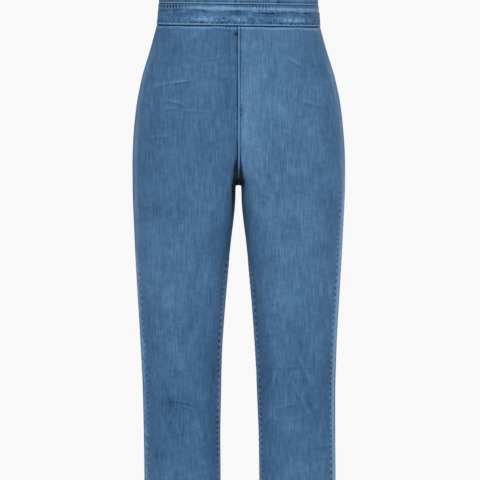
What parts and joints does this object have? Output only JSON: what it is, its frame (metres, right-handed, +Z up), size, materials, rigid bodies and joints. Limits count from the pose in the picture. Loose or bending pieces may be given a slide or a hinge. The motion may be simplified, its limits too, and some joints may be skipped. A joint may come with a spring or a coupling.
{
  "type": "denim jumpsuit",
  "caption": "Sleeveless denim jumpsuit with a round neck, darted bodice, plain waistband, centre-back zip and straight ankle-length legs, hollow as worn.",
  "frame": {"origin": "between the neck ends of the two shoulder seams, where the wearer's shoulders hold the garment up", "axes": "+Z up, -Y to the front, +X to the wearer's left"},
  "size_m": [0.3566, 0.2512, 1.4052],
  "materials": {
    "denim": "mid-blue stone-washed denim with fine vertical slubs",
    "tape": "dark blue woven zip tape",
    "metal": "satin brass"
  },
  "bodies": {
    "garment": {"bodice_front_left": "denim", "bodice_front_right": "denim", "bodice_back_left": "denim", "bodice_back_right": "denim", "waistband_front": "denim", "waistband_back_left": "denim", "waistband_back_right": "denim", "leg_front_left": "denim", "leg_front_right": "denim", "leg_back_left": "denim", "leg_back_right": "denim", "zip_tape": "tape", "zip_slider": "metal"},
    "pull_tab": {"zip_pull": "metal"}
  },
  "joints": [
    {"name": "pull_hinge", "type": "hinge", "parent": "garment", "child": "pull_tab", "pos_m": [0, 0.07102, -0.04225], "axis": [1, 0, 0], "range_deg": [0, 150]}
  ]
}
